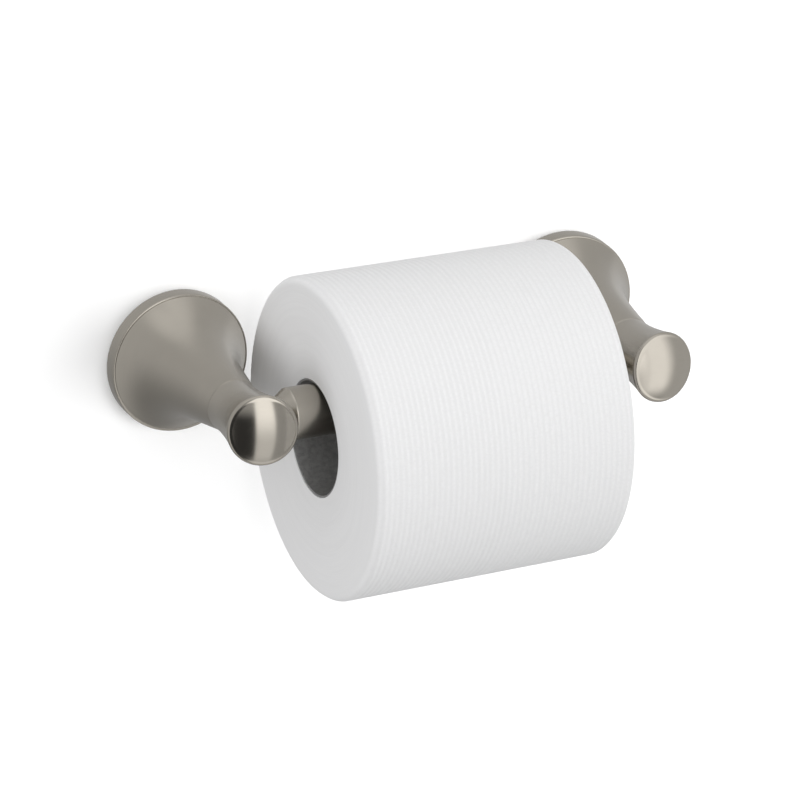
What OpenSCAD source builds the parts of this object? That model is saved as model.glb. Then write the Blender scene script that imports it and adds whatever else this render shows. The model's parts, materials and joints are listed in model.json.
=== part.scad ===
// Two-post wall holder with a sprung cross roller and a roll of toilet paper.
// Origin: on the wall, midway between the posts, level with them.
// +X to the right, +Y into the wall, +Z up. Millimetres.

/* [Overall] */
// Distance between the centres of the two posts
post_spacing = 156; // [130:1:190]
// Distance from the wall to the axis of the roller
roller_out = 66; // [63:1:80]

/* [Escutcheon] */
// Radius of the base on the wall
base_r = 26.7; // [25:0.1:33]
// Height of the straight side of the base
rim_h = 5.9; // [5:0.1:8]
// Width of the ledge between the side and the flare
ledge_w = 0.9; // [0.6:0.1:1.5]
// Distance from the seam, where the post begins, to the roller's axis
seam_back = 8.5; // [8.5:0.1:13]
// Radius at the seam
seam_r = 10.1; // [9.6:0.1:12]
// Thickness of the shell
shell_wall = 2.2; // [1.6:0.1:2.8]
// Thickness of the web that the joining screw pulls on
web_t = 2.5; // [2:0.1:4]
// Depth of the socket that takes the post's spigot
socket_depth = 5.5; // [4:0.1:8]

/* [Post] */
// Distance from the roller's axis to the middle of the knob's rim
knob_reach = 19; // [17:0.1:26]
// Radius of the knob
knob_r = 13.1; // [12:0.1:16]
// Crown of the knob's face
face_crown = 2.4; // [1:0.1:4]
// Rounding of the knob's rim
rim_round = 1.3; // [0.6:0.1:2]
// Sideways lean of the knob, away from the roll, in degrees
knob_splay = 11.5; // [0:0.5:16]
// Upward lean of the knob, in degrees
knob_lift = 7; // [0:0.5:12]
// Sideways drift of the post's centre line from the wall to the knob, away from the roll
knob_shift = 1.4; // [0:0.1:4]
// Rise of the post's centre line from the wall to the knob
knob_rise = 3.8; // [0:0.1:6]
// Radius of the spot face around the pivot's socket
spot_r = 8.4; // [7.4:0.1:8.6]
// Distance from the post's centre line to the spot face
spot_from_axis = 6; // [5.2:0.1:7]

/* [Roller] */
// Outer radius of the outer tube
roller_r = 9.7; // [8.6:0.1:12]
// Wall of both tubes
tube_wall = 0.9; // [0.6:0.1:1.3]
// Length of each conical end
cone_l = 7.5; // [5:0.1:10]
// Length of the small boss beyond each cone
boss_l = 2.6; // [1:0.1:4]
// Distance from the middle to the mouth of the outer tube
mouth_x = 34; // [26:1:38]
// Overlap of the inner tube in the outer one at rest
tube_overlap = 46; // [40:1:56]
// Radius of the pivot tips
pivot_r = 3.5; // [3:0.1:4.2]
// Length of each tip inside its socket
pivot_in = 5; // [4:0.1:6.5]
// Coils in the spring
coils = 16; // [10:1:20]
// Wire radius of the spring
wire_r = 0.6; // [0.4:0.1:0.8]

/* [Paper roll] */
// Width of the roll
roll_w = 101.6; // [85:0.1:110]
// Outer radius of the roll
roll_r = 58.9; // [45:0.1:62]
// Inner radius of the cardboard core
core_r = 21.1; // [18:0.1:26]
// Thickness of the cardboard core
core_wall = 0.8; // [0.5:0.1:1.5]
// Rounding of the roll's edges
roll_round = 3; // [1:0.1:5]

/* [Wall fixing] */
// Thickness of the bracket's plate
bracket_t = 2.5; // [2:0.1:3]
// Height of the bracket's collar above the wall
collar_h = 9; // [8:0.1:11]
// Thickness of the collar
collar_t = 1.8; // [1.4:0.1:2.4]
// Distance between the two wall screws of one bracket
screw_spacing = 26; // [20:0.5:29]
// Shank radius of the wall screws
screw_r = 2.1; // [1.8:0.1:2.5]
// Length of the wall screws under the head
screw_l = 32; // [25:1:40]
// Outer radius of the wall anchors
anchor_r = 3.2; // [3:0.1:4]
// Length of the wall anchors
anchor_l = 28; // [20:1:34]
// Radius of the set screw
set_r = 2; // [1.5:0.1:2]
// Radius of the joining screw
join_r = 2.5; // [2:0.1:3]
// Length of the joining screw under its head
join_l = 12; // [10:1:13]

/* [Clearances] */
// Between the spigot and its socket, on the radius
spigot_gap = 0.15; // [0.1:0.05:0.4]
// Between the escutcheon and the bracket's collar
bracket_gap = 0.4; // [0.3:0.1:1]
// Between a pivot tip and its socket, on the radius
pivot_gap = 0.08; // [0.02:0.01:0.1]
// Between the boss beside a tip and the spot face
shoulder_gap = 1.2; // [0.6:0.1:3]
// Between the two tubes' guide rings and the tube they slide on, on the radius
slide_gap = 0.06; // [0.02:0.01:0.1]
// Between the two tubes elsewhere, on the radius
tube_gap = 0.3; // [0.2:0.05:0.5]
// Between a roller end's plug and its tube, on the radius
plug_gap = 0.05; // [0.02:0.01:0.1]
// Between the spring and the inner tube, on the radius
spring_gap = 0.9; // [0.4:0.1:1.2]
// Between the roller and the core that hangs on it
hang_gap = 0.3; // [0.25:0.05:0.6]
// Around every screw in its hole, on the radius
screw_gap = 0.06; // [0.05:0.01:0.3]

/* [Hidden] */
$fn = 96;

LEFT = -1;
RIGHT = 1;
post_x = post_spacing / 2;

nickel = "#96928a";
steel = "#a8a8a8";
plastic = "#8f949c";
paper = "#ededf0";
cardboard = "#8c8378";

// Escutcheon, with distances measured out from the wall
seam_out = roller_out - seam_back;
flare_r = base_r - ledge_w;
flare_start = rim_h + 0.5;
flare_root = 2;
flare_straight = 0.48;
flare_power = 4.2;
flare_steps = 20;
rim_edge = 0.5;
hollow_start = flare_start + 0.4;
web_front = seam_out - socket_depth;
web_back = web_front - web_t;

// Post
knob_out = roller_out + knob_reach;
spigot_r = seam_r - shell_wall - spigot_gap;
spigot_l = socket_depth - 0.2;
spigot_root = 2;
post_sides = 48;
neck_rings = 15;
dome_rings = 6;
thread_depth = spigot_l + 4;
socket_end_gap = 1;

// Joining screw
web_gap = 0.3;
washer_t = 1;
washer_r = join_r + 2.1;
washer_slit = 1;
join_head_r = join_r + 1.7;
head_h = 2.4;
join_head_out = web_back - washer_t - head_h;

// Bracket, wall screws, anchors and set screw
function flare(out) =
    let (v = (seam_out - out) / (seam_out - flare_start))
    seam_r + (flare_r - seam_r) * (flare_straight * v + (1 - flare_straight) * pow(v, flare_power));
bracket_r = flare(collar_h) - shell_wall - bracket_gap - knob_rise * collar_h / knob_out;
wall_head_r = screw_r + 1.9;
drive_w = 0.9;
drive_depth = 1.2;
screw_point_l = 5;
anchor_slit = 0.8;
anchor_slit_share = 0.44;
set_out = set_r + 1.3;
set_boss_r = set_r + 1.2;
set_boss_end = base_r - shell_wall + 0.5;
set_recess = 0.3;
set_key_r = 0.6 * set_r;
set_key_depth = 2;

// Roller, with distances measured along X from the middle
spot_x = post_x - spot_from_axis;
tip_x = spot_x + pivot_in;
tip_chamfer = 0.7;
boss_x = spot_x - shoulder_gap;
boss_r = pivot_r + 1.3;
cone_x = boss_x - boss_l - cone_l;
cone_edge = 0.6;
outer_bore = roller_r - tube_wall;
inner_r = outer_bore - tube_gap;
inner_bore = inner_r - tube_wall;
inner_start = mouth_x - tube_overlap;
plug_l = 9;
guide_w = 1.4;

// Spring
spring_r = inner_bore - spring_gap - wire_r;
spring_end = cone_x - plug_l - wire_r - 0.1;
spring_steps = 14;
spring_sides = 6;

// Paper roll
roll_drop = core_r - roller_r - hang_gap;
glue_gap = 0.02;

// Puts what is drawn along +Z, out from the wall, on the centre line of one post.
module on_post(side) {
    translate([side * post_x, 0, 0]) rotate([90, 0, 0]) children();
}

// Where a post's centre line has drifted to at a distance from the wall.
function drift(side, out) = [side * knob_shift * out / knob_out, knob_rise * out / knob_out, out];

// Slants what is drawn along +Z so that it follows the drift of the post's centre line.
module slanted(side) {
    multmatrix([[1, 0, side * knob_shift / knob_out, 0], [0, 1, knob_rise / knob_out, 0], [0, 0, 1, 0]])
        children();
}

// Moves what is drawn along a post's +Z over to where its centre line crosses the web.
module at_joining_screw(side) {
    translate(drift(side, web_back) - [0, 0, web_back]) children();
}

// Puts what is drawn along +Z at both wall screws of one post.
module at_wall_screws(side) {
    on_post(side) for (end = [-1, 1]) translate([0, end * screw_spacing / 2, 0]) children();
}

// Turns what is drawn along +Z to point straight down from a post's centre line.
module downwards() {
    rotate([90, 0, 0]) translate([0, set_out, 0]) children();
}

// Puts what is drawn along +Z on the roller's axis, pointing to the right.
module along_roller() {
    translate([0, -roller_out, 0]) rotate([0, 90, 0]) children();
}

module wall_bracket(side) {
    color(steel) difference() {
        on_post(side) union() {
            cylinder(r = bracket_r, h = bracket_t);
            difference() {
                cylinder(r = bracket_r, h = collar_h);
                translate([0, 0, -1]) cylinder(r = bracket_r - collar_t, h = collar_h + 2);
            }
        }
        at_wall_screws(side) translate([0, 0, -1]) cylinder(r = screw_r + screw_gap, h = bracket_t + 2);
    }
}

function flare_line(from, to, inset) =
    [for (i = [0:flare_steps]) let (out = from + (to - from) * i / flare_steps) [flare(out) - inset, out]];

module escutcheon(side) {
    color(nickel) on_post(side) difference() {
        union() {
            rotate_extrude() polygon(concat(
                [[base_r - shell_wall, 0], [base_r, 0]],
                [for (a = [0:30:90]) [base_r - rim_edge * (1 - cos(a)), rim_h - rim_edge * (1 - sin(a))]],
                [[flare_r - shell_wall, rim_h]]));
            slanted(side) rotate_extrude() polygon(concat(
                [[flare_r - shell_wall, rim_h - flare_root], [flare_r, rim_h - flare_root]],
                flare_line(flare_start, seam_out, 0),
                [[seam_r - shell_wall, seam_out], [seam_r - shell_wall, web_front],
                 [join_r + web_gap, web_front], [join_r + web_gap, web_back]],
                flare_line(web_back, hollow_start, shell_wall)));
            downwards() translate([0, 0, bracket_r + bracket_gap])
                cylinder(r = set_boss_r, h = set_boss_end - bracket_r - bracket_gap);
        }
        downwards() cylinder(r = set_r + screw_gap, h = base_r + 1);
    }
}

function bezier(t, p) =
    p[0] * pow(1 - t, 3) + 3 * p[1] * t * pow(1 - t, 2) + 3 * p[2] * t * t * (1 - t) + p[3] * pow(t, 3);

// Radius and distance from the wall along the neck, from the seam to the knob's rim.
function neck(t) = bezier(t, [
    [seam_r, seam_out],
    [seam_r - 0.3, seam_out + 0.26 * (knob_out - seam_out)],
    [knob_r - 2.1, seam_out + 0.65 * (knob_out - seam_out)],
    [knob_r, knob_out]]);

// Share of the knob's lean that the neck has taken up, growing smoothly from the seam.
function lean(out) = let (u = (out - seam_out) / (knob_out - seam_out)) u * u * (3 - 2 * u);

// One ring of points of the post, of radius r, at a height above its own leaning plane.
function ring(side, r, out, above) =
    let (k = lean(out), yaw = side * knob_splay * k, pitch = knob_lift * k,
         centre = drift(side, out))
    [for (i = [0:post_sides - 1])
        let (a = 360 * i / post_sides, x = r * cos(a),
             y = r * sin(a) * cos(pitch) + above * sin(pitch),
             z = above * cos(pitch) - r * sin(a) * sin(pitch))
        centre + [x * cos(yaw) + z * sin(yaw), y, z * cos(yaw) - x * sin(yaw)]];

module post_body(side) {
    face_r = knob_r - rim_round;
    rings = concat(
        [for (i = [0:neck_rings]) let (n = neck(i / neck_rings)) ring(side, n[0], n[1], 0)],
        [for (a = [22.5:22.5:90]) ring(side, face_r + rim_round * cos(a), knob_out, rim_round * sin(a))],
        [for (i = [1:dome_rings - 1]) let (u = 1 - i / dome_rings)
            ring(side, face_r * u, knob_out, rim_round + face_crown * (1 - u * u))]);
    count = len(rings);
    apex = ring(side, 0, knob_out, rim_round + face_crown)[0];
    last = (count - 1) * post_sides;
    polyhedron(
        points = concat([for (r = rings) each r], [drift(side, seam_out), apex]),
        faces = concat(
            [for (j = [0:count - 2], i = [0:post_sides - 1])
                let (a = j * post_sides + i, b = j * post_sides + (i + 1) % post_sides)
                each [[a, b + post_sides, b], [a, a + post_sides, b + post_sides]]],
            [for (i = [0:post_sides - 1]) [i, (i + 1) % post_sides, count * post_sides]],
            [for (i = [0:post_sides - 1]) [last + (i + 1) % post_sides, last + i, count * post_sides + 1]]));
}

module post(side) {
    color(nickel) on_post(side) difference() {
        union() {
            post_body(side);
            slanted(side) translate([0, 0, seam_out - spigot_l]) cylinder(r = spigot_r, h = spigot_l + spigot_root);
        }
        at_joining_screw(side) translate([0, 0, seam_out - spigot_l - 1])
            cylinder(r = join_r + screw_gap, h = thread_depth + 1);
        translate([0, 0, roller_out]) rotate([0, -side * 90, 0]) {
            translate([0, 0, spot_from_axis]) cylinder(r = spot_r, h = knob_r);
            translate([0, 0, spot_from_axis - pivot_in - socket_end_gap])
                cylinder(r = pivot_r + pivot_gap, h = knob_r);
        }
    }
}

// A cross-shaped driver recess cut down from z = 0.
module cross_recess(r) {
    for (turn = [0, 90]) rotate([0, 0, turn])
        translate([-r, -drive_w / 2, -drive_depth]) cube([2 * r, drive_w, drive_depth + 1]);
}

module joining_screw(side) {
    color(steel) on_post(side) at_joining_screw(side) translate([0, 0, join_head_out]) difference() {
        union() {
            cylinder(r = join_head_r, h = head_h);
            cylinder(r = join_r, h = head_h + join_l);
        }
        mirror([0, 0, 1]) cross_recess(0.6 * join_head_r);
    }
}

module lock_washer(side) {
    color(steel) on_post(side) at_joining_screw(side) translate([0, 0, web_back - washer_t]) difference() {
        cylinder(r = washer_r, h = washer_t);
        translate([0, 0, -1]) cylinder(r = join_r + screw_gap, h = washer_t + 2);
        translate([0, -washer_slit / 2, -1]) cube([washer_r + 1, washer_slit, washer_t + 2]);
    }
}

module set_screw(side) {
    tip = bracket_r + 0.05;
    end = base_r - set_recess;
    color(steel) on_post(side) downwards() difference() {
        union() {
            translate([0, 0, tip]) cylinder(r1 = 0.5 * set_r, r2 = set_r, h = 0.5 * set_r);
            translate([0, 0, tip + 0.5 * set_r]) cylinder(r = set_r, h = end - tip - 0.5 * set_r);
        }
        translate([0, 0, end - set_key_depth]) cylinder(r = set_key_r, h = set_key_depth + 1, $fn = 6);
    }
}

module wall_screws(side) {
    color(steel) at_wall_screws(side) translate([0, 0, bracket_t]) difference() {
        rotate_extrude() polygon(concat(
            [[0, -screw_l], [screw_r, -screw_l + screw_point_l], [screw_r, 0], [wall_head_r, 0]],
            [for (a = [0:15:90]) [wall_head_r * cos(a), 0.8 + (head_h - 0.8) * sin(a)]]));
        translate([0, 0, head_h]) cross_recess(0.6 * wall_head_r);
    }
}

module wall_anchors(side) {
    slit_l = anchor_slit_share * anchor_l;
    color(plastic) at_wall_screws(side) difference() {
        translate([0, 0, -anchor_l]) cylinder(r = anchor_r, h = anchor_l);
        translate([0, 0, -anchor_l - 1]) cylinder(r = screw_r + screw_gap, h = anchor_l + 2);
        for (turn = [0, 90]) rotate([0, 0, turn])
            translate([-anchor_r - 1, -anchor_slit / 2, -anchor_l - 1])
                cube([2 * anchor_r + 2, anchor_slit, slit_l + 1]);
    }
}

module roller_outer_tube() {
    color(nickel) along_roller() rotate_extrude() polygon([
        [outer_bore, -cone_x], [roller_r, -cone_x], [roller_r, mouth_x - 0.4], [roller_r - 0.4, mouth_x],
        [inner_r + slide_gap, mouth_x], [inner_r + slide_gap, mouth_x - guide_w],
        [outer_bore, mouth_x - guide_w]]);
}

module roller_inner_tube() {
    color(nickel) along_roller() rotate_extrude() polygon([
        [inner_bore, inner_start], [outer_bore - slide_gap, inner_start],
        [outer_bore - slide_gap, inner_start + guide_w], [inner_r, inner_start + guide_w],
        [inner_r, cone_x], [inner_bore, cone_x]]);
}

// A roller end with its plug in a tube: cone, boss and pivot tip, drawn towards +Z.
module roller_end(tube_r) {
    plug_r = tube_r - tube_wall - plug_gap;
    rotate_extrude() polygon([
        [0, cone_x - plug_l], [plug_r - 0.5, cone_x - plug_l], [plug_r, cone_x - plug_l + 0.5],
        [plug_r, cone_x], [tube_r, cone_x], [tube_r, cone_x + 0.2], [tube_r - cone_edge, cone_x + 0.9],
        [boss_r, cone_x + cone_l], [boss_r, boss_x], [pivot_r, boss_x],
        [pivot_r, tip_x - tip_chamfer], [pivot_r - tip_chamfer, tip_x], [0, tip_x]]);
}

module roller_left_end() {
    color(nickel) along_roller() mirror([0, 0, 1]) roller_end(roller_r);
}

module roller_right_end() {
    color(nickel) along_roller() roller_end(inner_r);
}

module roller_spring() {
    steps = coils * spring_steps;
    color(steel) along_roller() polyhedron(
        points = [for (i = [0:steps], k = [0:spring_sides - 1])
            let (turn = 360 * i / spring_steps, a = 360 * k / spring_sides,
                 r = spring_r + wire_r * cos(a), z = spring_end * (2 * i / steps - 1) + wire_r * sin(a))
            [r * cos(turn), r * sin(turn), z]],
        faces = concat(
            [for (i = [0:steps - 1], k = [0:spring_sides - 1])
                let (a = i * spring_sides + k, b = i * spring_sides + (k + 1) % spring_sides)
                each [[a, b, b + spring_sides], [a, b + spring_sides, a + spring_sides]]],
            [[for (k = [spring_sides - 1:-1:0]) k]],
            [[for (k = [0:spring_sides - 1]) steps * spring_sides + k]]));
}

module on_roll_axis() {
    translate([0, 0, -roll_drop]) along_roller() children();
}

module toilet_paper() {
    inner = core_r + core_wall + glue_gap;
    color(paper) on_roll_axis() rotate_extrude() polygon(concat(
        [[inner, -roll_w / 2]],
        [for (a = [-90:15:0]) [roll_r - roll_round * (1 - cos(a)), -roll_w / 2 + roll_round * (1 + sin(a))]],
        [for (a = [0:15:90]) [roll_r - roll_round * (1 - cos(a)), roll_w / 2 - roll_round * (1 - sin(a))]],
        [[inner, roll_w / 2]]));
}

module cardboard_core() {
    color(cardboard) on_roll_axis() translate([0, 0, -roll_w / 2]) difference() {
        cylinder(r = core_r + core_wall, h = roll_w);
        translate([0, 0, -1]) cylinder(r = core_r, h = roll_w + 2);
    }
}

wall_bracket(LEFT);  // left_wall_bracket
wall_bracket(RIGHT);  // right_wall_bracket
escutcheon(LEFT);  // left_escutcheon
escutcheon(RIGHT);  // right_escutcheon
post(LEFT);  // left_post
post(RIGHT);  // right_post
joining_screw(LEFT);  // left_joining_screw
joining_screw(RIGHT);  // right_joining_screw
lock_washer(LEFT);  // left_lock_washer
lock_washer(RIGHT);  // right_lock_washer
set_screw(LEFT);  // left_set_screw
set_screw(RIGHT);  // right_set_screw
wall_screws(LEFT);  // left_wall_screws
wall_screws(RIGHT);  // right_wall_screws
wall_anchors(LEFT);  // left_wall_anchors
wall_anchors(RIGHT);  // right_wall_anchors
roller_outer_tube();
roller_left_end();
roller_inner_tube();
roller_right_end();
roller_spring();
toilet_paper();
cardboard_core();
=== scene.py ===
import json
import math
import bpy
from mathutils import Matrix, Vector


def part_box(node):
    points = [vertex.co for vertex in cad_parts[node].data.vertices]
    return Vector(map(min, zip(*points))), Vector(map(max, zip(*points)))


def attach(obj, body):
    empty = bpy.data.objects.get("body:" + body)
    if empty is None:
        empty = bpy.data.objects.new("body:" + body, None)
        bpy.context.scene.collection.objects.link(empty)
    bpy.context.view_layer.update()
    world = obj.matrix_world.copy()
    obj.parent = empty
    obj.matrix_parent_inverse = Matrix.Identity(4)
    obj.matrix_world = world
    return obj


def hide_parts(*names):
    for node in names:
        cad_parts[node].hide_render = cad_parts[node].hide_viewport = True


bl_info = {
    "name": "Toilet Paper Holder",
    "version": (1, 0, 0),
    "blender": (4, 5, 0),
    "location": "View3D > Sidebar > Holder",
    "description": "Builds a two-post toilet paper holder with its sprung roller and a roll of ribbed paper",
    "category": "Object",
}

import bmesh
import bpy
import numpy as np
from bpy.props import FloatProperty, FloatVectorProperty, PointerProperty
from mathutils import Matrix, Vector

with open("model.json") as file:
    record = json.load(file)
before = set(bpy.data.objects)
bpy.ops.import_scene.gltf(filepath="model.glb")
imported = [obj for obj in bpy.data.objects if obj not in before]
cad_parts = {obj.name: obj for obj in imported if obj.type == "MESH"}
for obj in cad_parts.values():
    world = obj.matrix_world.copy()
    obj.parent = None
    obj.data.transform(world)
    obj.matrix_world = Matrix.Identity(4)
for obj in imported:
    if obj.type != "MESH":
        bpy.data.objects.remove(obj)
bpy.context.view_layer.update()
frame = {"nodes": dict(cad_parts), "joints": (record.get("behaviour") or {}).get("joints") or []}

MM = 0.001
LEFT, RIGHT = -1, 1
SIDES = {"left": LEFT, "right": RIGHT}
MM_UNIT = {"subtype": "DISTANCE", "unit": "LENGTH", "precision": 5}


# ---------------------------------------------------------------- places read from the frame

def joint(name):
    return next(j for j in frame["joints"] if j["name"] == name)


def span(node, axis):
    low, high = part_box(node)
    return low[axis], high[axis]


def half(node, axis):
    low, high = span(node, axis)
    return (high - low) / 2


POST_X = sum(span("right_escutcheon", 0)) / 2
BASE_R = half("right_escutcheon", 0)
SEAM_OUT = -span("right_escutcheon", 1)[0]
ROLLER_OUT = -joint("roller_spin")["pos_m"][1]
ROLLER_R = half("roller_outer_tube", 2)
MOUTH_X = span("roller_outer_tube", 0)[1]
CONE_X = span("roller_inner_tube", 0)[1]
INNER_START = span("roller_inner_tube", 0)[0]
TIP_X = span("roller_right_end", 0)[1]
PLUG_START = span("roller_right_end", 0)[0]
ROLL_AXIS = Vector(joint("roll_spin")["pos_m"])
ROLL_R = half("toilet_paper", 1)
ROLL_HALF = half("toilet_paper", 0)
CORE_OUTER = half("cardboard_core", 2)
BRACKET_R = half("right_wall_bracket", 0)


def length(value, name, description):
    return FloatProperty(name=name, description=description, default=value, **MM_UNIT)


def angle(degrees, name, description):
    return FloatProperty(name=name, description=description, default=math.radians(degrees), subtype="ANGLE",
                         unit="ROTATION")


def colour(value, name, description):
    return FloatVectorProperty(name=name, description=description, default=value, size=3, min=0, max=1,
                               subtype="COLOR")


class HolderSizes(bpy.types.PropertyGroup):
    """Sizes of the shapes that stand for the plain frame pieces."""

    rim_h: length(5.9 * MM, "Rim height", "Height of the straight side of the base")
    ledge_w: length(0.9 * MM, "Ledge width", "Width of the ledge between the rim and the flare")
    seam_r: length(10.1 * MM, "Seam radius", "Radius where the post meets its base")
    shell_wall: length(2.2 * MM, "Shell wall", "Thickness of the base's shell")
    web_out: length(52 * MM, "Web distance", "Distance from the wall to the front of the inner web")
    web_t: length(2.5 * MM, "Web thickness", "Thickness of the inner web")
    knob_reach: length(19 * MM, "Knob reach", "Distance from the roller's axis to the knob's rim")
    knob_r: length(13.1 * MM, "Knob radius", "Radius of the knob")
    face_crown: length(2.4 * MM, "Face crown", "Height of the crown of the knob's face")
    rim_round: length(1.3 * MM, "Rim rounding", "Rounding between the neck and the face")
    knob_splay: angle(11.5, "Knob splay", "Sideways lean of the knob's face")
    knob_lift: angle(7, "Knob lift", "Upward lean of the knob's face")
    knob_shift: length(1.4 * MM, "Knob shift", "Sideways drift of the post from the wall to the knob")
    knob_rise: length(3.8 * MM, "Knob rise", "Rise of the post from the wall to the knob")
    spot_r: length(8.4 * MM, "Spot face radius", "Radius of the spot face around the socket")
    spot_from_axis: length(6 * MM, "Spot face depth", "Distance from the post's centre line to the spot face")
    socket_r: length(3.58 * MM, "Socket radius", "Radius of the socket for the pivot tip")
    edge: length(0.2 * MM, "Broken edge", "Width of the broken edges on the metal")
    tube_wall: length(0.9 * MM, "Tube wall", "Wall of the roller's tubes")
    tube_gap: length(0.3 * MM, "Tube gap", "Gap between the two tubes")
    core_wall: length(0.8 * MM, "Core wall", "Thickness of the cardboard core")
    rib_pitch: length(2.2 * MM, "Rib pitch", "Distance between the embossed ribs on the paper")
    rib_depth: length(0.16 * MM, "Rib depth", "Height of the embossed ribs")
    taper: FloatProperty(name="Taper", default=0.012, min=0, max=0.03, subtype="FACTOR",
                         description="Share by which the soft roll narrows from its middle to the right")
    tilt: length(0.6 * MM, "Tilt", "How far the soft roll's right end sits above its middle")
    roll_round: length(3 * MM, "Roll rounding", "Rounding of the roll's edges")


class HolderFinish(bpy.types.PropertyGroup):
    """Colours of the finishes."""

    nickel: colour((0.42, 0.392, 0.345), "Nickel", "Colour of the brushed nickel")
    zinc: colour((0.60, 0.61, 0.62), "Zinc", "Colour of the zinc-plated fixings")
    plastic: colour((0.36, 0.38, 0.42), "Plastic", "Colour of the wall anchors")
    tissue: colour((0.87, 0.87, 0.875), "Tissue", "Colour of the paper")
    board: colour((0.27, 0.268, 0.266), "Board", "Colour of the core's board")


def sizes():
    return bpy.context.scene.holder_sizes


def finish():
    return bpy.context.scene.holder_finish


# ---------------------------------------------------------------- shader arithmetic

class Wire:
    """A shader socket that takes part in Python arithmetic: each operator adds a Math node."""

    def __init__(self, tree, socket=None):
        self.tree = tree
        self.socket = socket

    def node(self, kind, settings=None, inputs=None, out=0):
        """Adds a node with these settings, gives its inputs these values or links, and returns one output."""
        made = self.tree.nodes.new(kind)
        for key, value in (settings or {}).items():
            setattr(made, key, value)
        for key, value in (inputs or {}).items():
            if isinstance(value, Wire):
                self.tree.links.new(value.socket, made.inputs[key])
            else:
                made.inputs[key].default_value = value
        return Wire(self.tree, made.outputs[out])

    def math(self, operation, *values):
        return self.node("ShaderNodeMath", {"operation": operation}, dict(enumerate(values)))

    def __add__(self, other):
        return self.math("ADD", self, other)

    def __sub__(self, other):
        return self.math("SUBTRACT", self, other)

    def __rsub__(self, other):
        return self.math("SUBTRACT", other, self)

    def __mul__(self, other):
        return self.math("MULTIPLY", self, other)

    def __truediv__(self, other):
        return self.math("DIVIDE", self, other)

    def __pow__(self, other):
        return self.math("POWER", self, other)

    __radd__ = __add__
    __rmul__ = __mul__

    def smooth(self, low, high):
        """0 below low, 1 above high, and a soft step between."""
        return self.node("ShaderNodeMapRange", {"interpolation_type": "SMOOTHSTEP"},
                         {"Value": self, "From Min": low, "From Max": high})


def split(root, vector):
    return [root.node("ShaderNodeSeparateXYZ", None, {"Vector": vector}, i) for i in range(3)]


def join(root, x, y, z):
    return root.node("ShaderNodeCombineXYZ", None, {"X": x, "Y": y, "Z": z})


def noise(root, vector, scale, detail=2.0, roughness=0.5, w=None):
    settings = {"noise_dimensions": "3D" if w is None else "4D"}
    inputs = {"Vector": vector, "Scale": scale, "Detail": detail, "Roughness": roughness}
    if w is not None:
        inputs["W"] = w
    return root.node("ShaderNodeTexNoise", settings, inputs)


def blend_colours(root, share, a, b):
    """A colour between a and b. Each is a wire, or a plain colour."""
    made = {key: value if isinstance(value, Wire) else (*value, 1) for key, value in ((6, a), (7, b))}
    return root.node("ShaderNodeMix", {"data_type": "RGBA"}, {0: share, **made}, 2)


def new_finish(name, **plain):
    """A new material, its root, and its Principled shader with these plain values."""
    material = bpy.data.materials.new(name)
    material.use_nodes = True
    tree = material.node_tree
    shader = next(n for n in tree.nodes if n.type == "BSDF_PRINCIPLED")
    for key, value in plain.items():
        shader.inputs[key.replace("_", " ").title()].default_value = value
    return material, Wire(tree), shader


def feed(shader, root, name, wire):
    root.tree.links.new(wire.socket, shader.inputs[name])


def bump(root, height, distance, strength):
    return root.node("ShaderNodeBump", None, {"Height": height, "Distance": distance, "Strength": strength})


def scaled(colour_value, factor):
    return tuple(min(c * factor, 1) for c in colour_value)


def around(root, centre, axis):
    """Coordinates about a line through centre along X or Y: (cosine, sine, radius, place along the line)."""
    position = root.node("ShaderNodeTexCoord", out=3)
    x, y, z = split(root, position)
    across, along = (x - centre[0], y - centre[1]) if axis == "Y" else (y - centre[1], x - centre[0])
    up = z - centre[2]
    radius = (across * across + up * up) ** 0.5 + 1e-6
    return across / radius, up / radius, radius, along


# ---------------------------------------------------------------- finishes

def brushed_metal(name, base, centre, axis, rough=0.25, faces=None):
    """Metal with fine strokes around a line. At a distance from the wall of faces it turns to a knob's face,
    which is smoother and has level strokes."""
    material, root, shader = new_finish(name, metallic=1.0, roughness=rough)
    cosine, sine, radius, along = around(root, centre, axis)
    turned = join(root, cosine * 1.3, sine * 1.3, radius * 5200)
    strokes = noise(root, turned, 1.0, 3, 0.65, along * 5200)
    coarse = noise(root, join(root, cosine * 2.2, sine * 2.2, radius * 1400), 1.0, 2, 0.5, along * 1400)
    position = root.node("ShaderNodeTexCoord", out=3)
    on_face = 0
    if faces is not None:
        x, y, z = split(root, position)
        level = noise(root, join(root, x * 260, y * 260, z * 5200), 1.0, 3, 0.65)
        facing = 0 - split(root, root.node("ShaderNodeNewGeometry", out=1))[1]
        on_face = (0 - y).smooth(faces - 4.5 * MM, faces - 4 * MM) * facing.smooth(0.72, 0.82)
        strokes = strokes + (level - strokes) * on_face
    cloud = noise(root, position, 55, 3, 0.55)
    tone = strokes.smooth(0.32, 0.68) * 0.5 + cloud.smooth(0.3, 0.7) * 0.5
    feed(shader, root, "Base Color", blend_colours(root, tone, scaled(base, 0.96), scaled(base, 1.03)))
    feed(shader, root, "Roughness", strokes * 0.05 + coarse * 0.02 + (rough - 0.03) - 0.11 * on_face)
    feed(shader, root, "Normal", bump(root, strokes * 0.7 + coarse * 0.3, 0.004 * MM, 0.35))
    return material


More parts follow.
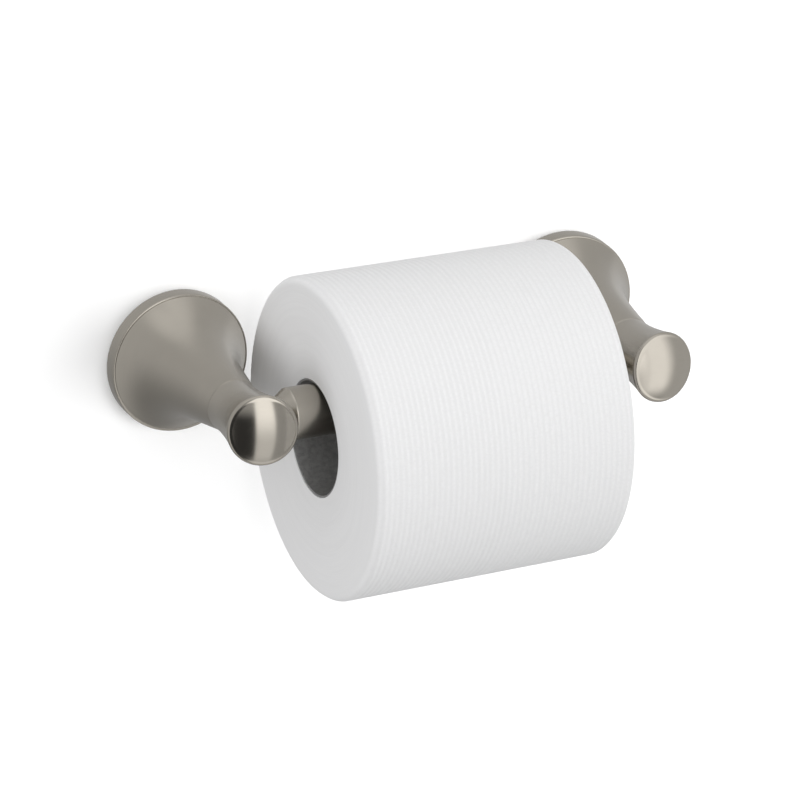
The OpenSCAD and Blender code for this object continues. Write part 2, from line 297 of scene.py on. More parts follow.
def plated_steel(name, base, rough=0.34):
    """Plated or drawn steel with a faint cloudy bloom and small scratches."""
    material, root, shader = new_finish(name, metallic=1.0, roughness=rough)
    position = root.node("ShaderNodeTexCoord", out=3)
    cloud = noise(root, position, 190, 4, 0.6)
    x, y, z = split(root, position)
    scratch = noise(root, join(root, x * 3200, y * 500, z * 1800), 1.0, 2, 0.5)
    tone = cloud.smooth(0.3, 0.7)
    feed(shader, root, "Base Color", blend_colours(root, tone, scaled(base, 0.82), scaled(base, 1.04)))
    feed(shader, root, "Roughness", rough - 0.06 + cloud * 0.16)
    feed(shader, root, "Normal", bump(root, scratch * 0.5 + cloud * 0.5, 0.02 * MM, 0.5))
    return material


def moulded_plastic(name, base):
    """Satin nylon with a fine moulded grain and a faint milky variation."""
    material, root, shader = new_finish(name, metallic=0.0, roughness=0.5)
    position = root.node("ShaderNodeTexCoord", out=3)
    grain = noise(root, position, 2600, 2, 0.5)
    milk = noise(root, position, 140, 3, 0.5)
    milky = blend_colours(root, milk.smooth(0.3, 0.7), scaled(base, 0.85), scaled(base, 1.1))
    feed(shader, root, "Base Color", milky)
    feed(shader, root, "Roughness", 0.42 + grain * 0.14)
    feed(shader, root, "Normal", bump(root, grain, 0.02 * MM, 0.6))
    return material


def tissue_paper(name, base):
    """Soft embossed tissue: short fibres and crepe on the outside, wound edges on the two ends, and painted
    shade in the grooves between the ribs.
    """
    material, root, shader = new_finish(name, metallic=0.0, roughness=0.95)
    shader.inputs["Specular IOR Level"].default_value = 0.25
    shader.inputs["Sheen Weight"].default_value = 0.12
    shader.inputs["Sheen Roughness"].default_value = 0.5
    cosine, sine, radius, along = around(root, ROLL_AXIS, "X")
    position = root.node("ShaderNodeTexCoord", out=3)
    side = radius.smooth(ROLL_R - 3.4 * MM, ROLL_R - 0.6 * MM)
    fibre = noise(root, position, 1500, 3, 0.65)
    # Mask of the grooves between the embossed ribs, where shade is painted into the colour.
    groove_shade = 0.5 - 0.5 * root.math("COSINE", along * (2 * math.pi / sizes().rib_pitch))
    crepe = noise(root, join(root, cosine * 95, sine * 95, along * 620), 1.0, 3, 0.6)
    wound = noise(root, join(root, cosine * 1.6, sine * 1.6, radius * 3400), 1.0, 2, 0.7)
    layers = noise(root, join(root, cosine * 0.8, sine * 0.8, radius * 420), 1.0, 3, 0.6)
    ends = wound * 0.55 + layers * 0.45
    height = ends + (crepe * 0.6 + fibre * 0.4 - ends) * side
    dull = scaled(base, 0.965)
    faces = blend_colours(root, ends.smooth(0.32, 0.66), dull, base)
    skin = blend_colours(root, (crepe * 0.5 + fibre * 0.5).smooth(0.35, 0.6), dull, scaled(base, 1.015))
    # Painted shade: the colour turns darker in the grooves between the embossed ribs.
    ribbed = blend_colours(root, groove_shade * 0.6, skin, scaled(base, 0.92))
    feed(shader, root, "Base Color", blend_colours(root, side, faces, ribbed))
    feed(shader, root, "Roughness", 0.88 + fibre * 0.1)
    feed(shader, root, "Normal", bump(root, height, 0.12 * MM, 0.4))
    return material


def core_board(name, base):
    """Grey board wound in a spiral, with its butt seam and short fibres."""
    material, root, shader = new_finish(name, metallic=0.0, roughness=0.9)
    shader.inputs["Specular IOR Level"].default_value = 0.25
    position = root.node("ShaderNodeTexCoord", out=3)
    x, y, z = split(root, position)
    turn = root.math("ARCTAN2", z - ROLL_AXIS.z, y - ROLL_AXIS.y) / (2 * math.pi)
    turns = root.math("FRACT", turn + x / (2.0 * CORE_OUTER * math.pi) + 0.37)
    from_seam = root.math("ABSOLUTE", turns - 0.5)
    seam = 1 - from_seam.smooth(0.002, 0.009)
    fibre = noise(root, position, 620, 4, 0.65)
    speck = noise(root, position, 2300, 2, 0.5)
    tone = fibre.smooth(0.3, 0.7) * 0.75 + speck.smooth(0.45, 0.75) * 0.25
    plain = blend_colours(root, tone, scaled(base, 0.78), scaled(base, 1.2))
    feed(shader, root, "Base Color", blend_colours(root, seam * 0.6, plain, scaled(base, 0.45)))
    feed(shader, root, "Roughness", 0.84 + fibre * 0.12)
    feed(shader, root, "Normal", bump(root, fibre * 0.5 + speck * 0.2 - seam * 0.8, 0.12 * MM, 0.7))
    return material


# ---------------------------------------------------------------- mesh building

def post_place(side):
    """Local +Z runs out from the wall on a post's centre line, local +Y runs up."""
    return Matrix.Translation((side * POST_X, 0, 0)) @ Matrix.Rotation(math.radians(90), 4, "X")


def roller_place(mirrored=False):
    """Local +Z runs along the roller, to the right, or to the left when mirrored."""
    turn = Matrix.Rotation(math.radians(-90 if mirrored else 90), 4, "Y")
    return Matrix.Translation((0, -ROLLER_OUT, 0)) @ turn


def new_piece(name, points, faces, place=None, smooth_angle=35):
    """A mesh object at the origin with its place in its points, smooth but for edges over smooth_angle."""
    mesh = bpy.data.meshes.new(name)
    placed = np.asarray(points, float)
    if place is not None:
        turn = np.array(place)
        placed = placed @ turn[:3, :3].T + turn[:3, 3]
    mesh.from_pydata(placed.tolist(), [], faces)
    piece = bpy.data.objects.new(name, mesh)
    bpy.context.scene.collection.objects.link(piece)
    finish_mesh(piece, smooth_angle)
    return piece


def finish_mesh(piece, smooth_angle=35):
    """Turns the faces outwards and marks the sharp edges."""
    edit = bmesh.new()
    edit.from_mesh(piece.data)
    bmesh.ops.remove_doubles(edit, verts=edit.verts, dist=1e-8)
    bmesh.ops.recalc_face_normals(edit, faces=edit.faces)
    limit = math.radians(smooth_angle)
    for face in edit.faces:
        face.smooth = True
    for edge in edit.edges:
        edge.smooth = len(edge.link_faces) == 2 and edge.calc_face_angle(math.pi) < limit
    edit.to_mesh(piece.data)
    edit.free()


def grid_faces(rows, columns, close_rows=False):
    """Quads of a grid whose columns wrap round, and whose rows do too if close_rows."""
    faces = []
    for row in range(rows if close_rows else rows - 1):
        this, after = row * columns, ((row + 1) % rows) * columns
        for column in range(columns):
            beside = (column + 1) % columns
            faces.append((this + column, this + beside, after + beside, after + column))
    return faces


def lathe(name, profile, place, sides, middle=lambda r, h: (0, 0)):
    """Turns a closed profile of (radius, height) points about local Z, each round its own middle."""
    turn = np.linspace(0, 2 * math.pi, sides, endpoint=False)
    points = []
    for r, h in profile:
        aside, rise = middle(r, h)
        points += [(aside + r * math.cos(a), rise + r * math.sin(a), h) for a in turn]
    closed = profile[0][0] > 1e-9 and profile[-1][0] > 1e-9
    return new_piece(name, points, grid_faces(len(profile), sides, closed), place)


def fillet(corner, start, end, size, steps=4):
    """Points that round the corner between the lines towards start and end."""
    c, a, b = (np.array(p, float) for p in (corner, start, end))
    p = c + (a - c) / np.linalg.norm(a - c) * size
    q = c + (b - c) / np.linalg.norm(b - c) * size
    return [tuple((1 - t) ** 2 * p + 2 * t * (1 - t) * c + t * t * q) for t in np.linspace(0, 1, steps + 1)]


def rounded(profile, rounds, steps=4):
    """The profile with the corners in rounds, a dict of place in the list to size, rounded."""
    made = []
    for i, point in enumerate(profile):
        if i in rounds:
            before, after = profile[i - 1], profile[(i + 1) % len(profile)]
            made += fillet(point, before, after, rounds[i], steps)
        else:
            made.append(point)
    return made


def drill(piece, radius, depth, place, sides=96, operation="DIFFERENCE"):
    """Cuts a round hole of this depth along local Z from the place's origin, or with UNION adds a rod."""
    profile = [(0, 0), (radius, 0), (radius, depth), (0, depth)]
    combine(piece, lathe("drill", profile, place, sides), operation)


def combine(piece, tool, operation):
    """Cuts the tool from the piece or adds it, and removes the tool."""
    boolean = piece.modifiers.new("combine", "BOOLEAN")
    boolean.operation, boolean.object, boolean.solver = operation, tool, "EXACT"
    depsgraph = bpy.context.evaluated_depsgraph_get()
    mesh = bpy.data.meshes.new_from_object(piece.evaluated_get(depsgraph))
    piece.modifiers.clear()
    old, piece.data = piece.data, mesh
    bpy.data.meshes.remove(old)
    spent = tool.data
    bpy.data.objects.remove(tool)
    bpy.data.meshes.remove(spent)
    finish_mesh(piece)


def settle(piece, material, body, slot, *nodes):
    """Gives a finished piece its material and its body, and hides the frame nodes that it stands for. The
    slot is not used.
    """
    piece.data.materials.clear()
    piece.data.materials.append(material)
    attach(piece, body)
    if nodes:
        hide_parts(*nodes)
    return piece


def dress(node, material):
    """Gives a frame node its material."""
    mesh = frame["nodes"][node].data
    mesh.materials.clear()
    mesh.materials.append(material)


def shared(name, make, *values, **options):
    """The material of this name, made once."""
    return bpy.data.materials.get(name) or make(name, *values, **options)


def nickel_for(side):
    name = "brushed_nickel_" + ("left" if side == LEFT else "right")
    return shared(name, brushed_metal, finish().nickel, (side * POST_X, 0, 0), "Y",
                  faces=ROLLER_OUT + sizes().knob_reach)


def roller_nickel():
    return shared("brushed_nickel_roller", brushed_metal, finish().nickel, (0, -ROLLER_OUT, 0), "X")


def zinc():
    return shared("zinc_plate", plated_steel, finish().zinc)


# ---------------------------------------------------------------- bases

LEDGE_STEP = 0.5 * MM
FLARE_STRAIGHT = 0.48
FLARE_BEND = 4.2
SCREW_BOSS_WALL = 1.2 * MM
JOINING_HOLE_R = 2.8 * MM


def flare(out):
    """Radius of the base's flare at a distance from the wall: steep near the rim, straight near the seam."""
    s = sizes()
    start = s.rim_h + LEDGE_STEP
    v = (SEAM_OUT - out) / (SEAM_OUT - start)
    spread = FLARE_STRAIGHT * v + (1 - FLARE_STRAIGHT) * v ** FLARE_BEND
    return s.seam_r + (BASE_R - s.ledge_w - s.seam_r) * spread


def base_profile():
    """Closed profile of a base's shell: rim, ledge, flare, mouth, inner web and inside."""
    s = sizes()
    start = s.rim_h + LEDGE_STEP
    inside_start = start + 0.4 * MM
    outs = [start + (SEAM_OUT - start) * i / 44 for i in range(45)]
    web_back = s.web_out - s.web_t
    inner_outs = [web_back - (web_back - inside_start) * i / 24 for i in range(25)]
    bore = s.seam_r - s.shell_wall
    ledge_r = flare(start)
    rim = [(BASE_R - s.shell_wall, 0), (BASE_R, 0), (BASE_R, s.rim_h), (ledge_r, s.rim_h), (ledge_r, start)]
    outer = rounded(rim, {1: 0.25 * MM, 2: 0.55 * MM, 3: 0.12 * MM})
    mouth = rounded([(flare(outs[-2]), outs[-2]), (s.seam_r, SEAM_OUT), (bore, SEAM_OUT), (bore, s.web_out)],
                    {1: s.edge, 2: s.edge})
    inside = [(bore, s.web_out), (JOINING_HOLE_R, s.web_out), (JOINING_HOLE_R, web_back)]
    return (outer + [(flare(o), o) for o in outs[1:-2]] + mouth[:-1] + inside
            + [(flare(o) - s.shell_wall, o) for o in inner_outs])


def set_screw_place(side):
    """Local +Z points straight down from the post's centre line, through the set screw."""
    out = -sum(span("right_set_screw", 1)) / 2
    return Matrix.Translation((side * POST_X, -out, 0)) @ Matrix.Rotation(math.pi, 4, "X")


class HOLDER_OT_bases(bpy.types.Operator):
    """Builds the two bell-shaped bases with their rims, ledges, inner webs and set-screw holes."""

    bl_idname = "holder.bases"
    bl_label = "Bases"

    def execute(self, context):
        s = sizes()
        screw_r = half("right_set_screw", 0)
        for word, side in SIDES.items():
            flare_r = BASE_R - s.ledge_w + 0.2 * MM

            def middle(r, out):
                return drift(side, out) if out >= s.rim_h - 1e-6 and r < flare_r else (0, 0)

            base = lathe(f"{word}_base", base_profile(), post_place(side), 192, middle=middle)
            place = set_screw_place(side)
            lift = BRACKET_R + 0.4 * MM
            boss_end = BASE_R - s.shell_wall + 0.5 * MM
            drill(base, screw_r + SCREW_BOSS_WALL, boss_end - lift, place @ Matrix.Translation((0, 0, lift)),
                  operation="UNION")
            drill(base, screw_r + 0.06 * MM, BASE_R, place @ Matrix.Translation((0, 0, lift / 2)))
            settle(base, nickel_for(side), "holder", "brushed_nickel", f"{word}_escutcheon")
        return {"FINISHED"}


# ---------------------------------------------------------------- posts

def neck(t):
    """Radius and distance from the wall along the neck, a cubic curve from the seam to the knob's rim."""
    s = sizes()
    knob_out = ROLLER_OUT + s.knob_reach
    run = knob_out - SEAM_OUT
    places = [(s.seam_r, SEAM_OUT), (s.seam_r - 0.3 * MM, SEAM_OUT + 0.26 * run),
              (s.knob_r - 2.1 * MM, SEAM_OUT + 0.65 * run), (s.knob_r, knob_out)]
    weights = [(1 - t) ** 3, 3 * t * (1 - t) ** 2, 3 * t * t * (1 - t), t ** 3]
    return sum(w * p[0] for w, p in zip(weights, places)), sum(w * p[1] for w, p in zip(weights, places))


def drift(side, out):
    """How far a post's centre line has drifted outwards and upwards at a distance from the wall."""
    s = sizes()
    share = out / (ROLLER_OUT + s.knob_reach)
    return side * s.knob_shift * share, s.knob_rise * share


def post_ring(side, r, out, above, sides):
    """One ring of a post, on a plane that leans more the nearer it is to the knob."""
    s = sizes()
    u = (out - SEAM_OUT) / (ROLLER_OUT + s.knob_reach - SEAM_OUT)
    k = u * u * (3 - 2 * u)
    yaw, pitch = side * s.knob_splay * k, s.knob_lift * k
    a = np.linspace(0, 2 * math.pi, sides, endpoint=False)
    x, flat = r * np.cos(a), r * np.sin(a)
    y = flat * math.cos(pitch) + above * math.sin(pitch)
    z = above * math.cos(pitch) - flat * math.sin(pitch)
    aside, rise = drift(side, out)
    return np.stack([aside + x * math.cos(yaw) + z * math.sin(yaw),
                     rise + y,
                     out + z * math.cos(yaw) - x * math.sin(yaw)], axis=1)


def post_points(side, sides):
    """The points of a post's rings, from the seam over the neck and rim to the middle of the face."""
    s = sizes()
    knob_out = ROLLER_OUT + s.knob_reach
    face_r = s.knob_r - s.rim_round
    rings = [post_ring(side, 0, SEAM_OUT, 0, sides),
             post_ring(side, s.seam_r - s.edge, SEAM_OUT, 0, sides),
             post_ring(side, s.seam_r - 0.3 * s.edge, SEAM_OUT, 0.3 * s.edge, sides)]
    rings += [post_ring(side, *neck(t), 0, sides) for t in np.linspace(0.02, 1, 56)]
    for a in np.radians(np.arange(11.25, 90, 11.25)):
        r, above = face_r + s.rim_round * math.cos(a), s.rim_round * math.sin(a)
        rings.append(post_ring(side, r, knob_out, above, sides))
    for u in np.linspace(1, 0, 22):
        rings.append(post_ring(side, face_r * u, knob_out, s.rim_round + s.face_crown * (1 - u * u), sides))
    return np.concatenate(rings), len(rings)


class HOLDER_OT_posts(bpy.types.Operator):
    """Builds the two waisted posts with their leaning knobs, spot faces and pivot sockets."""

    bl_idname = "holder.posts"
    bl_label = "Posts"

    def execute(self, context):
        s = sizes()
        sides = 176
        for word, side in SIDES.items():
            points, rows = post_points(side, sides)
            post = new_piece(f"{word}_knob_post", points, grid_faces(rows, sides), post_place(side))
            inwards = Matrix.Rotation(math.radians(-90 * side), 4, "Y")
            axis = Matrix.Translation((side * POST_X, -ROLLER_OUT, 0)) @ inwards
            drill(post, s.spot_r, 20 * MM, axis @ Matrix.Translation((0, 0, s.spot_from_axis)), 128)
            drill(post, s.socket_r, 20 * MM, axis, 64)
            settle(post, nickel_for(side), "holder", "brushed_nickel", f"{word}_post")
        return {"FINISHED"}


# ---------------------------------------------------------------- wall fixings

class HOLDER_OT_fixings(bpy.types.Operator):
    """Finishes the brackets, screws, washers and anchors that the bases hide."""

    bl_idname = "holder.fixings"
    bl_label = "Wall fixings"

    def execute(self, context):
        for word in SIDES:
            for node in ("wall_bracket", "wall_screws", "joining_screw", "lock_washer", "set_screw"):
                dress(f"{word}_{node}", zinc())
            dress(f"{word}_wall_anchors", shared("anchor_nylon", moulded_plastic, finish().plastic))
        return {"FINISHED"}


# ---------------------------------------------------------------- roller

def end_profile(tube_r):
    """Plug, cone, boss and pivot tip of one roller end, from the plug's inner face to the tip."""
    s = sizes()
    plug_r = tube_r - s.tube_wall - 0.05 * MM
    pivot_r = s.socket_r - 0.08 * MM
    boss_r = pivot_r + 1.3 * MM
    boss_x = POST_X - s.spot_from_axis - 1.2 * MM
    cone_end = boss_x - 2.6 * MM
    corners = [(0, PLUG_START), (plug_r, PLUG_START), (plug_r, CONE_X),
               (tube_r, CONE_X), (tube_r, CONE_X + 0.5 * MM), (boss_r, cone_end),
               (boss_r, boss_x), (pivot_r, boss_x), (pivot_r, TIP_X), (0, TIP_X)]
    return rounded(corners, {1: 0.4 * MM, 4: 0.45 * MM, 5: 0.8 * MM, 6: 0.3 * MM, 8: 0.8 * MM}, 6)


class HOLDER_OT_roller(bpy.types.Operator):
    """Builds the two telescoping tubes and their coned ends, and finishes the spring inside."""

    bl_idname = "holder.roller"
    bl_label = "Roller"

    def execute(self, context):
        s = sizes()
        bore = ROLLER_R - s.tube_wall
        inner_r = bore - s.tube_gap
        lip = inner_r + 0.06 * MM
        guide = 1.4 * MM
        outer = rounded([(bore, -CONE_X), (ROLLER_R, -CONE_X), (ROLLER_R, MOUTH_X), (lip, MOUTH_X),
                         (lip, MOUTH_X - guide), (bore, MOUTH_X - guide)], {2: 0.5 * MM, 3: 0.15 * MM})
        inner = rounded([(inner_r - s.tube_wall, INNER_START), (bore - 0.06 * MM, INNER_START),
                         (bore - 0.06 * MM, INNER_START + guide), (inner_r, INNER_START + guide + 0.2 * MM),
                         (inner_r, CONE_X), (inner_r - s.tube_wall, CONE_X)], {1: 0.2 * MM})
        made = (("roller_tube_outer", outer, False, "roller", "roller_outer_tube"),
                ("roller_tube_inner", inner, False, "roller_slider", "roller_inner_tube"),
                ("roller_cone_left", end_profile(ROLLER_R), True, "roller", "roller_left_end"),
                ("roller_cone_right", end_profile(inner_r), False, "roller_slider", "roller_right_end"))
        for name, profile, mirrored, body, node in made:
            piece = lathe(name, profile, roller_place(mirrored), 128)
            settle(piece, roller_nickel(), body, "brushed_nickel", node)
        dress("roller_spring", shared("spring_steel", plated_steel, scaled(finish().zinc, 0.7), rough=0.3))
        return {"FINISHED"}


# ---------------------------------------------------------------- paper roll

SHEET_T = 0.22 * MM
SHEET_END = math.radians(128)
END_ROWS = 40
EDGE_ROWS = 11


def roll_profile():
    """(radius, place along the roll, share of rib height), from one end over the side to the other."""
    s = sizes()
    inner = CORE_OUTER + 0.02 * MM
    edge = s.roll_round
    made = [(inner + (ROLL_R - edge - inner) * i / END_ROWS, -ROLL_HALF, 0) for i in range(END_ROWS)]
    for a in np.radians(np.linspace(0, 90, EDGE_ROWS)):
        ribbed = max(0, math.sin(a) - 0.8) * 5
        made.append((ROLL_R - edge + edge * math.sin(a), -ROLL_HALF + edge * (1 - math.cos(a)), ribbed))
    run = ROLL_HALF - edge
    steps = round(2 * run / s.rib_pitch) * 7
    made += [(ROLL_R, -run + 2 * run * i / steps, 1) for i in range(1, steps)]
    return made + [(r, -x, share) for r, x, share in reversed(made[:END_ROWS + EDGE_ROWS])]


def roll_points(profile, columns):
    """The profile turned into points, with ribs, a loose outer sheet, puffed ends and an uneven side."""
    s = sizes()
    turns = np.linspace(0, 2 * math.pi, columns, endpoint=False)
    radius, along, share = (np.array(v)[:, None] for v in zip(*profile))
    random = np.random.default_rng(7)
    outwards = np.clip((radius - CORE_OUTER) / (ROLL_R - CORE_OUTER), 0, 1)
    rib = np.cos(2 * math.pi * along / s.rib_pitch)
    strength = 1 + 0.05 * random.standard_normal((len(profile), columns))
    past_end = (turns[None, :] - SHEET_END) % (2 * math.pi)
    layer = SHEET_T * (1 - past_end / (2 * math.pi)) * share
    bulge = 0.12 * MM * np.sin(2 * turns + 0.7)[None, :] + 0.07 * MM * np.sin(5 * turns + 2.1)[None, :]
    shape = radius + layer + share * s.rib_depth * 0.5 * rib * strength + bulge * outwards
    shape = shape * (1 - s.taper * outwards * along / ROLL_HALF)
    lift = s.tilt * outwards * along / ROLL_HALF
    end_wave = 0.03 * MM * np.sin(radius / (1.1 * MM)) + 0.1 * MM * np.sin(3 * turns + radius / (6 * MM))
    on_end = np.clip((ROLL_R - s.roll_round - radius) / (2 * MM), 0, 1)
    puff = 0.35 * MM * np.clip((radius - CORE_OUTER) / (8 * MM), 0, 1)
    x = along + np.sign(along) * (puff - on_end * 0.5 * end_wave)
    y, z = shape * np.cos(turns), shape * np.sin(turns) + lift
    return np.stack(np.broadcast_arrays(x, y, z), axis=2).reshape(-1, 3)


class HOLDER_OT_paper(bpy.types.Operator):
    """Builds the ribbed roll of paper with its soft edges and loose outer sheet, and its board core."""

    bl_idname = "holder.paper"
    bl_label = "Paper roll"

    def execute(self, context):
        s = sizes()
        profile = roll_profile()
        columns = 224
        place = Matrix.Translation(ROLL_AXIS)
        faces = grid_faces(len(profile), columns, True)
        roll = new_piece("paper_roll", roll_points(profile, columns), faces, place, 60)
        tissue = shared("white_tissue", tissue_paper, finish().tissue)
        settle(roll, tissue, "paper_roll", "tissue_paper", "toilet_paper")
        inner, outer = CORE_OUTER - s.core_wall, CORE_OUTER - 0.02 * MM
        inside = ROLL_HALF - 0.2 * MM
        tube = rounded([(inner, -inside), (outer, -inside), (outer, inside), (inner, inside)],
                       dict.fromkeys(range(4), 0.25 * MM))
        core = lathe("board_core", tube, place @ Matrix.Rotation(math.radians(90), 4, "Y"), 160)
        board = shared("grey_board", core_board, finish().board)
        settle(core, board, "paper_roll", "core_board", "cardboard_core")
        return {"FINISHED"}


# ---------------------------------------------------------------- stage

VIEW_AZIMUTH = math.radians(-24.48)
VIEW_ELEVATION = math.radians(22.23)
VIEW_ROLL = math.radians(0.79)
VIEW_DISTANCE = 3.2023
VIEW_RIGHT = 0.01208
VIEW_UP = -0.0267
LENS = 389.2


def view_frame(azimuth, elevation):
    """Unit vectors to the right, up and back towards a viewer at this azimuth and elevation."""
    back = Vector((math.sin(azimuth) * math.cos(elevation), -math.cos(azimuth) * math.cos(elevation),
                   math.sin(elevation)))
    right = Vector((math.cos(azimuth), math.sin(azimuth), 0))
    return right, back.cross(right), back


def add_camera():
    """A long lens in front of the holder, from the left and above."""
    right, up, back = view_frame(VIEW_AZIMUTH, VIEW_ELEVATION)
    data = bpy.data.cameras.new("view")
    data.sensor_width = 36
    data.lens = LENS
    data.clip_end = 50
    camera = bpy.data.objects.new("view", data)
    c, r = math.cos(VIEW_ROLL), math.sin(VIEW_ROLL)
    turned = (c * right + r * up, c * up - r * right, back)
    matrix = Matrix([[v[i] for v in turned] for i in range(3)]).to_4x4()
    matrix.translation = back * VIEW_DISTANCE + right * VIEW_RIGHT + up * VIEW_UP
    camera.matrix_world = matrix
    bpy.context.scene.collection.objects.link(camera)
    bpy.context.scene.camera = camera


def empty_tree(owner):
    """Gives a new material or world an empty node tree, and returns it with its root."""
    owner.use_nodes = True
    owner.node_tree.nodes.clear()
    return owner.node_tree, Wire(owner.node_tree)


def one_sided(name, shade, glow):
    """A pale backdrop that shows from its front only, and lights nothing."""
    material = bpy.data.materials.new(name)
    tree, root = empty_tree(material)
    diffuse = root.node("ShaderNodeBsdfDiffuse", None, {"Color": (*shade, 1)})
    light = root.node("ShaderNodeEmission", None, {"Color": (1, 1, 1, 1), "Strength": glow})
    lit = root.node("ShaderNodeAddShader", None, {0: diffuse, 1: light})
    clear = root.node("ShaderNodeBsdfTransparent")
    behind = root.node("ShaderNodeNewGeometry", out=6)
    seen = root.node("ShaderNodeLightPath", out=0)
    front = seen * (1 - behind)
    mixed = root.node("ShaderNodeMixShader", None, {0: front, 1: clear, 2: lit})
    out = tree.nodes.new("ShaderNodeOutputMaterial")
    tree.links.new(mixed.socket, out.inputs["Surface"])
    return material


def backdrop(name, centre, across, up, material):
    """A flat sheet of scenery, with half its sides given."""
    corners = [centre - across - up, centre + across - up, centre + across + up, centre - across + up]
    mesh = bpy.data.meshes.new(name)
    mesh.from_pydata([tuple(c) for c in corners], [], [(0, 1, 2, 3)])
    mesh.materials.append(material)
    plane = bpy.data.objects.new(name, mesh)
    bpy.context.scene.collection.objects.link(plane)
    return plane


def soft_light(name, place, target, width, power):
    """A square soft light that reflections don't see."""
    data = bpy.data.lights.new(name, "AREA")
    data.shape, data.size, data.size_y, data.energy = "RECTANGLE", width, width, power
    lamp = bpy.data.objects.new(name, data)
    lamp.location = place
    lamp.rotation_euler = (Vector(target) - Vector(place)).to_track_quat("-Z", "Y").to_euler()
    lamp.visible_camera = False
    lamp.visible_glossy = False
    bpy.context.scene.collection.objects.link(lamp)
    return lamp


def group_of(name, *objs):
    group = bpy.data.collections.new(name)
    for obj in objs:
        group.objects.link(obj)
    return group


def soft_card(name, place, target, half_width, half_height, strength):
    """A glowing card with soft edges that only reflections see."""
    material = bpy.data.materials.new(name)
    tree, root = empty_tree(material)
    x, y, z = split(root, root.node("ShaderNodeTexCoord", out=3))
    across = 1 - root.math("ABSOLUTE", x / half_width).smooth(0.25, 1)
    up = 1 - root.math("ABSOLUTE", y / half_height).smooth(0.5, 1)
    glow = root.node("ShaderNodeEmission", None, {"Color": (1, 1, 1, 1), "Strength": strength})
    clear = root.node("ShaderNodeBsdfTransparent")
    mixed = root.node("ShaderNodeMixShader", None, {0: across * up, 1: clear, 2: glow})
    out = tree.nodes.new("ShaderNodeOutputMaterial")
    tree.links.new(mixed.socket, out.inputs["Surface"])
    card = backdrop(name, Vector(), Vector((half_width, 0, 0)), Vector((0, half_height, 0)), material)
    card.location = place
    card.rotation_euler = (target - place).to_track_quat("-Z", "Y").to_euler()
    for kind in ("camera", "diffuse", "transmission", "shadow", "volume_scatter"):
        setattr(card, "visible_" + kind, False)


def studio_world():
    """White for the camera, and for the object a soft grey room with a bright panel and a dark flat."""
    world = bpy.data.worlds.new("studio")
    tree, root = empty_tree(world)
    direction = root.node("ShaderNodeTexCoord", out=0)
    x, y, z = split(root, direction)
    bearing = root.math("ARCTAN2", x, 0 - y) * (180 / math.pi)
    ahead = (0 - y).smooth(-0.35, 0.1)
    right = bearing.smooth(95, 110) * (1 - bearing.smooth(140, 160)) * (1 - z.smooth(0.0, 0.2))
    behind = 0.30 + 0.36 * z.smooth(-0.9, 0.4)
    room = behind * (1 - ahead) + 0.70 * ahead + 0.35 * z.smooth(0.75, 0.97) + right * 0.2
    level = z.smooth(-0.85, -0.65)
    dark = bearing.smooth(-50, -40) * (1 - bearing.smooth(-14, -10)) * level * (1 - 0.8 * z.smooth(0.15, 0.5))
    panel = bearing.smooth(-14, -10) * (1 - bearing.smooth(14, 18)) * level * (1 - z.smooth(0.6, 0.85))
    grey = bearing.smooth(14, 18) * (1 - bearing.smooth(44, 60)) * level * (1 - z.smooth(0.5, 0.85))
    bands = room * (1 - dark * 0.93) * (1 - grey * 0.28) + panel * (0.35 + 0.85 * z.smooth(-0.45, 0.35))
    seen = root.node("ShaderNodeLightPath", out=0)
    strength = bands + (1.0 - bands) * seen
    background = root.node("ShaderNodeBackground", None, {"Color": (1, 1, 1, 1), "Strength": strength})
    out = tree.nodes.new("ShaderNodeOutputWorld")
    tree.links.new(background.socket, out.inputs["Surface"])
    bpy.context.scene.world = world


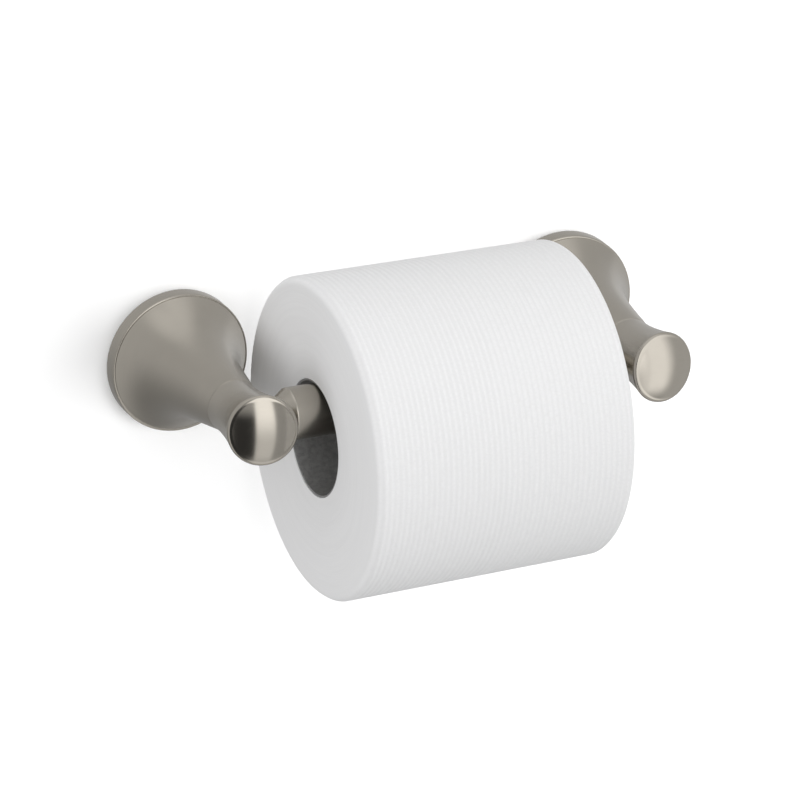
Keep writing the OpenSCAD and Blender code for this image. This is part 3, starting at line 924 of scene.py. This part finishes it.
class HOLDER_OT_stage(bpy.types.Operator):
    """Sets up the camera, the wall, the floor and the soft studio light."""

    bl_idname = "holder.stage"
    bl_label = "Stage"

    def execute(self, context):
        add_camera()
        studio_world()
        wall = one_sided("pale_wall", (0.84, 0.84, 0.84), 0.1)
        plane = backdrop("wall", Vector((0, 0.0004, 1.2)), Vector((4, 0, 0)), Vector((0, 0, 2.2)), wall)
        backdrop("floor", Vector((0, -2, -0.9)), Vector((5, 0, 0)), Vector((0, 5, 0)), wall)
        soft_light("key", (1.5, -1.3, 0.5), (0, -0.05, 0), 1.0, 9)
        soft_light("fill", (-1.7, -0.9, 0.3), (0, -0.05, 0), 1.2, 9)
        soft_card("card", Vector((0.201, -0.28, 0.03)), Vector((0.079, -0.085, 0)), 0.15, 0.32, 1.6)
        rake = soft_light("rake", (0.86, -1.1, -0.2), (0, 0, 0), 1.0, 13)
        bases = [bpy.data.objects[f"{word}_base"] for word in SIDES]
        rake.light_linking.receiver_collection = group_of("wall_only", plane)
        rake.light_linking.blocker_collection = group_of("bases_only", *bases)
        scene = context.scene
        scene.view_settings.view_transform = "Standard"
        scene.view_settings.look = "None"
        return {"FINISHED"}


# ---------------------------------------------------------------- panel and registration

OPERATORS = (HOLDER_OT_bases, HOLDER_OT_posts, HOLDER_OT_fixings, HOLDER_OT_roller, HOLDER_OT_paper,
             HOLDER_OT_stage)


class HOLDER_PT_panel(bpy.types.Panel):
    """Lists the holder's sizes, finishes and building steps."""

    bl_idname = "HOLDER_PT_panel"
    bl_label = "Toilet Paper Holder"
    bl_space_type = "VIEW_3D"
    bl_region_type = "UI"
    bl_category = "Holder"

    def draw(self, context):
        for operator in OPERATORS:
            self.layout.operator(operator.bl_idname)
        for group in (context.scene.holder_sizes, context.scene.holder_finish):
            box = self.layout.box()
            for name in group.__annotations__:
                box.prop(group, name)


CLASSES = (HolderSizes, HolderFinish, *OPERATORS, HOLDER_PT_panel)


def register():
    for cls in CLASSES:
        bpy.utils.register_class(cls)
    bpy.types.Scene.holder_sizes = PointerProperty(type=HolderSizes)
    bpy.types.Scene.holder_finish = PointerProperty(type=HolderFinish)


def unregister():
    del bpy.types.Scene.holder_finish
    del bpy.types.Scene.holder_sizes
    for cls in reversed(CLASSES):
        bpy.utils.unregister_class(cls)


def main():
    register()
    for operator in OPERATORS:
        getattr(bpy.ops.holder, operator.bl_idname.split(".")[1])()
    bpy.context.view_layer.update()


if __name__ == "__main__":
    main()
